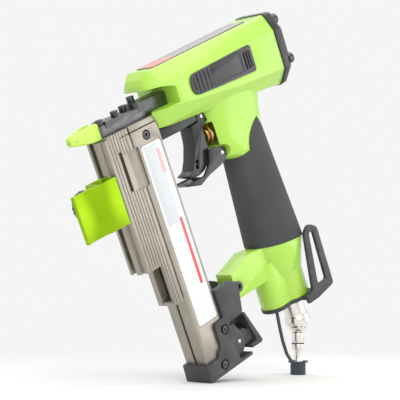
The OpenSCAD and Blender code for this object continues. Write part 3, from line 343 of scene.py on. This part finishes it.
# %% [markdown]
# ## The tip and the plates
# The nose tip is a soft rubber that spares the wood. The plate on the magazine stays bare, with the
# plain panels and the rounded red bar that set out such a plate. A shape on a plate is a mask: a
# rectangle with round corners, measured in millimetres from its middle.

# %% Tip rubber
soft = Finish("green_tip_rubber")
soft_tone = soft.noise(6, 2).ramp(0.3, 0.7)
tip_rubber = soft.close(soft.blend(soft_tone, (0.5, 0.78, 0.1, 1), (0.56, 0.83, 0.14, 1)),
    soft.noise(2, 2).ramp(0.2, 0.8, 0.42, 0.52), soft.noise(0.8, 2) * 0.01)

# %% Magazine plate
# Half the width of a printed edge, in millimetres
PRINT_BLUR = 0.12
plate = Finish("bare_magazine_plate")


def pill(u, v, half_u, half_v, radius):
    """1 inside a rectangle with round corners, centred where u and v are 0."""
    du = (abs(u) - (half_u - radius)).most(0.0)
    dv = (abs(v) - (half_v - radius)).most(0.0)
    reach = (du * du + dv * dv) ** 0.5
    return reach.ramp(radius - PRINT_BLUR, radius + PRINT_BLUR, 1.0, 0.0)


silver_panel = pill(plate.x - 57.3, plate.z + 52.0, 6.4, 29.5, 1.2)
red_bar = pill(plate.x - 63.9, plate.z + 104.5, 1.35, 25.5, 1.3)
red_block = pill(plate.x - 63.6, plate.z + 36.0, 1.6, 9.0, 0.3)
plate_colour = plate.blend(silver_panel, (0.78, 0.8, 0.81, 1), (0.6, 0.63, 0.65, 1))
plate_colour = plate.blend(red_block * 0.55, plate_colour, (0.75, 0.16, 0.14, 1))
plate_colour = plate.blend(red_bar, plate_colour, (0.78, 0.06, 0.07, 1))
magazine_plate = plate.close(plate_colour, plate.noise(5, 2).ramp(0.2, 0.8, 0.28, 0.36),
    plate.noise(0.6, 2) * 0.003, Coat_Weight=0.3, Coat_Roughness=0.15)

# %% Top plate
foil = Finish("bare_top_plate")
foil_front = (foil.x + foil.y * 0.25).ramp(108.0, 108.6, 1.0, 0.0)
foil_edge = abs(foil.y).ramp(8.3, 8.6).most(foil.x.ramp(84.4, 84.8, 1.0, 0.0))
foil_colour = foil.blend(foil_front, (0.36, 0.345, 0.36, 1), (0.72, 0.3, 0.26, 1))
foil_colour = foil.blend(foil_edge, foil_colour, (0.1, 0.1, 0.1, 1))
top_plate = foil.close(foil_colour, foil.noise(4, 2).ramp(0.2, 0.8, 0.4, 0.5),
    foil.noise(0.7, 2) * 0.004, Coat_Weight=0.2, Coat_Roughness=0.2)

# %% Side plate with its bare gloss panel
# Front end of the plate and spacing of its upright grooves, in millimetres
PLATE_FRONT, RIB_PITCH = 102.0, 4.0
panel = Finish("side_plate_plastic")
gloss = pill(panel.x - 139.7, panel.z - 4.2, 15.6, 7.6, 0.8)
rib_run = pill(panel.x - 136.0, panel.z - 3.2, 31.5, 7.2, 5.0)
rib_phase = (panel.x - PLATE_FRONT) % RIB_PITCH
grooves_and_groove_shade = rib_phase.ramp(1.7, 2.1) * rib_phase.ramp(3.7, 3.95, 1.0, 0.0)
grooves_and_groove_shade = grooves_and_groove_shade * rib_run * (1.0 - gloss)
side_colour = panel.blend(gloss, (0.055, 0.053, 0.06, 1), (0.012, 0.012, 0.013, 1))
# The grooves get a bump and are also painted near black: that black is painted shade in the grooves.
side_plastic = panel.close(panel.blend(grooves_and_groove_shade, side_colour, (0.008, 0.008, 0.009, 1)),
    gloss.ramp(0.0, 1.0, 0.42, 0.14),
    panel.noise(0.5, 2) * (1.0 - gloss) * 0.01 - grooves_and_groove_shade * 0.5 - gloss * 0.2)

# %% [markdown]
# ## Easing the edges
# A sharp edge is what gives a drawing away: a casting, a bent strap or a moulded cap all catch a
# thin line of light on every edge. A copy of each solid is merged into one skin, its flat triangles
# are joined, and a bevel modifier rounds each edge that turns by more than 28 degrees. Pieces too
# fine to bevel, such as a spring's wire, keep their edges and are only shaded smooth.

# %% A dressed copy of a solid
# Distance within which corners are one, in metres
WELD = 2e-6
FLAT_ANGLE, BEVEL_ANGLE, CREASE_ANGLE = math.radians(0.6), math.radians(28), math.radians(38)


def link(name, mesh):
    thing = bpy.data.objects.new(name, mesh)
    bpy.context.collection.objects.link(thing)
    return thing


def apply_modifiers(thing):
    """Leaves the object a plain mesh in the shape that its modifiers give."""
    graph = bpy.context.evaluated_depsgraph_get()
    mesh = bpy.data.meshes.new_from_object(
        thing.evaluated_get(graph), preserve_all_data_layers=True, depsgraph=graph)
    thing.modifiers.clear()
    thing.data = mesh


def merged_copy(node):
    """A copy of a CAD node's mesh as one skin, with its flat triangles joined."""
    mesh = frame["nodes"][node].data.copy()
    mesh.materials.clear()
    work = bmesh.new()
    work.from_mesh(mesh)
    bmesh.ops.remove_doubles(work, verts=work.verts, dist=WELD)
    bmesh.ops.dissolve_limit(work, angle_limit=FLAT_ANGLE, verts=work.verts, edges=work.edges)
    work.to_mesh(mesh)
    work.free()
    return mesh


def eased(node, radius):
    """A copy of a CAD node whose sharp edges are rounded by radius, in millimetres, if it has one."""
    thing = link(node + "_eased", merged_copy(node))
    if radius:
        bevel = thing.modifiers.new("edge", "BEVEL")
        bevel.width = radius * MM
        bevel.segments = 2
        bevel.limit_method = "ANGLE"
        bevel.angle_limit = BEVEL_ANGLE
        bevel.harden_normals = False
        bevel.use_clamp_overlap = True
        bevel.miter_outer = "MITER_ARC"
        apply_modifiers(thing)
    for face in thing.data.polygons:
        face.use_smooth = True
    thing.data.set_sharp_from_angle(angle=CREASE_ANGLE)
    return thing


# %% [markdown]
# ## What each solid is made of
# One table says which finish, record slot and edge radius each node gets, so that the whole tool
# can be read at a glance.

# %% The table of finishes
DRESS = {
    "housing": (green_coat, "green_paint", 0.5),
    "rear_cap": (black_coat, "black_coat", 0.5),
    "cap_gasket": (strap_rubber, "seal_rubber", 0.1),
    "top_strip": (top_plate, "strip", 0.15),
    "side_plates": (side_plastic, "black_plastic", 0.3),
    "grip_sleeve": (grip_rubber, "grip_rubber", 0.6),
    "belt_hook": (bracket_black, "black_coat", 0.5),
    "swivel_socket": (nickel, "plug_steel", 0.3),
    "swivel_ball": (nickel, "plug_steel", 0.2),
    "air_plug": (nickel, "plug_steel", 0.25),
    "plug_ring": (strap_rubber, "seal_rubber", 0),
    "dust_cap": (strap_rubber, "grip_rubber", 0.4),
    "tether_strap": (strap_rubber, "grip_rubber", 0),
    "trigger": (trigger_black, "black_coat", 0.6),
    "trigger_pin": (bright_steel, "bright_steel", 0.15),
    "safety_lever": (trigger_black, "black_coat", 0.5),
    "lever_pin": (bright_steel, "bright_steel", 0.15),
    "valve_body": (brass, "brass", 0.25),
    "valve_stem": (bright_steel, "bright_steel", 0),
    "valve_spring": (bright_steel, "bright_steel", 0),
    "nose_base": (nose_steel, "nose_steel", 0.25),
    "nose_plate": (nose_steel, "nose_steel", 0.3),
    "nose_blade": (nose_steel, "nose_steel", 0.15),
    "nose_tip": (tip_rubber, "green_rubber", 0.3),
    "lockout_housing": (black_coat, "black_coat", 0.4),
    "lockout_slide": (nose_steel, "nose_steel", 0.2),
    "magazine_body": (champagne, "champagne", 0.25),
    "magazine_bar": (champagne, "champagne", 0.2),
    "magazine_cover": (champagne, "champagne", 0.2),
    "magazine_label": (magazine_plate, "label", 0.05),
    "pusher": (bright_steel, "bright_steel", 0.1),
    "pusher_roll": (bright_steel, "bright_steel", 0.15),
    "roll_axle": (bright_steel, "bright_steel", 0.1),
    "end_bracket": (bracket_black, "black_coat", 0.45),
    "release_lever": (bracket_black, "black_plastic", 0.5),
    "release_pin": (bright_steel, "bright_steel", 0.2),
    "edge_guide": (green_anodising, "green_anodised", 0.2),
    "guide_clamp": (black_coat, "black_coat", 0.15),
    "guide_knob": (plastic_black, "black_plastic", 0.3),
    "cylinder_liner": (bright_steel, "bright_steel", 0.2),
    "bumper": (strap_rubber, "seal_rubber", 0.3),
    "driver_piston": (bright_steel, "bright_steel", 0.2),
    "piston_ring": (strap_rubber, "seal_rubber", 0),
    "head_valve": (plastic_black, "black_plastic", 0.3),
    "head_valve_spring": (bright_steel, "bright_steel", 0),
    "cap_screws": (screw_black, "screw_steel", 0.15),
    "hook_screws": (screw_black, "screw_steel", 0.1),
    "nose_screws": (screw_black, "screw_steel", 0.12),
    "magazine_screw": (screw_black, "screw_steel", 0.1),
    "bracket_screws": (screw_black, "bright_steel", 0.1),
    "arm_bolt": (screw_black, "screw_steel", 0.15),
    "pin_strip": (pin_steel, "bright_steel", 0.05),
}
body_of = {node: body for body, nodes in frame["record"]["behaviour"]["bodies"].items() for node in nodes}

# %% Dress the solids
for node, (finish, slot_name, radius) in DRESS.items():
    piece = eased(node, radius)
    piece.data.materials.clear()
    piece.data.materials.append(finish)
    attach(piece, body_of[node])
    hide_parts(node)
print("dressed", len(DRESS), "of", len(frame["nodes"]))

# %% [markdown]
# ## The studio
# A pale sweep, a large soft key lamp on the camera's left, a broad lamp overhead and a weak fill
# keep the tool bright and nearly shadowless. The floor is a real diffuse surface close to the tool,
# so it keeps the contact shadow, and fades into the plain backdrop further off.

# %% Floor and backdrop
# Grey of the backdrop, of the light it gives the tool, and of the paper under the tool
BACKDROP, AMBIENT, PAPER = 0.915, 0.6, 0.86
# The floor's half width, and how far out the paper starts and ends its fade, in metres
FLOOR_REACH, FADE_START, FADE_END = 3, 0.16, 0.42
room = bpy.context.scene.world or bpy.data.worlds.new("studio")
bpy.context.scene.world = room
room.use_nodes = True
sky = Maker(room.node_tree)
room.node_tree.nodes.clear()
path = room.node_tree.nodes.new("ShaderNodeLightPath")
seen = Signal(sky, path.outputs["Is Camera Ray"]).most(Signal(sky, path.outputs["Is Glossy Ray"])).most(
    Signal(sky, path.outputs["Is Transmission Ray"]))
glow = sky.add("ShaderNodeBackground", None, {"Color": sky.blend(seen, grey(AMBIENT), grey(BACKDROP))})
world_end = room.node_tree.nodes.new("ShaderNodeOutputWorld")
room.node_tree.links.new(glow.socket, world_end.inputs["Surface"])

floor_mesh = bpy.data.meshes.new("studio_floor")
floor_corners = [(FLOOR_REACH * x, FLOOR_REACH * y, 0) for x, y in ((-1, -1), (1, -1), (1, 1), (-1, 1))]
floor_mesh.from_pydata(floor_corners, [], [(0, 1, 2, 3)])
floor = link("studio_floor", floor_mesh)
paper = bpy.data.materials.new("studio_paper")
paper.use_nodes = True
paper.node_tree.nodes.clear()
sheet = Maker(paper.node_tree)
place = sheet.add("ShaderNodeTexCoord", output="Object")
distance = sheet.add("ShaderNodeVectorMath", {"operation": "LENGTH"}, {0: place}, output="Value")
far_off = distance.ramp(FADE_START, FADE_END)
matt = sheet.add("ShaderNodeBsdfDiffuse", None, {"Color": grey(PAPER)})
plain = sheet.add("ShaderNodeEmission", None, {"Color": grey(BACKDROP)})
mixed = sheet.add("ShaderNodeMixShader", None, {0: far_off, 1: matt, 2: plain})
paper_end = paper.node_tree.nodes.new("ShaderNodeOutputMaterial")
paper.node_tree.links.new(mixed.socket, paper_end.inputs["Surface"])
floor_mesh.materials.append(paper)


# %% Lamps


def lamp(name, place, aim, width, height, power):
    """A rectangular soft box that faces aim."""
    data = bpy.data.lights.new(name, "AREA")
    data.shape = "RECTANGLE"
    data.size, data.size_y, data.energy = width, height, power
    box = bpy.data.objects.new(name, data)
    bpy.context.collection.objects.link(box)
    box.location = place
    box.rotation_mode = "QUATERNION"
    box.rotation_quaternion = (aim - box.location).to_track_quat("-Z", "Y")


# About the tool's middle, in metres
middle = Vector((0, 0, 0.14))
lamp("key_lamp", (-0.55, -0.95, 0.75), middle, 0.8, 0.8, 9)
lamp("top_lamp", (0.1, 0.1, 1.1), middle, 1.2, 1.2, 7)
lamp("fill_lamp", (0.8, -0.7, 0.3), middle, 0.8, 0.8, 3)
bpy.context.scene.view_settings.view_transform = "Standard"
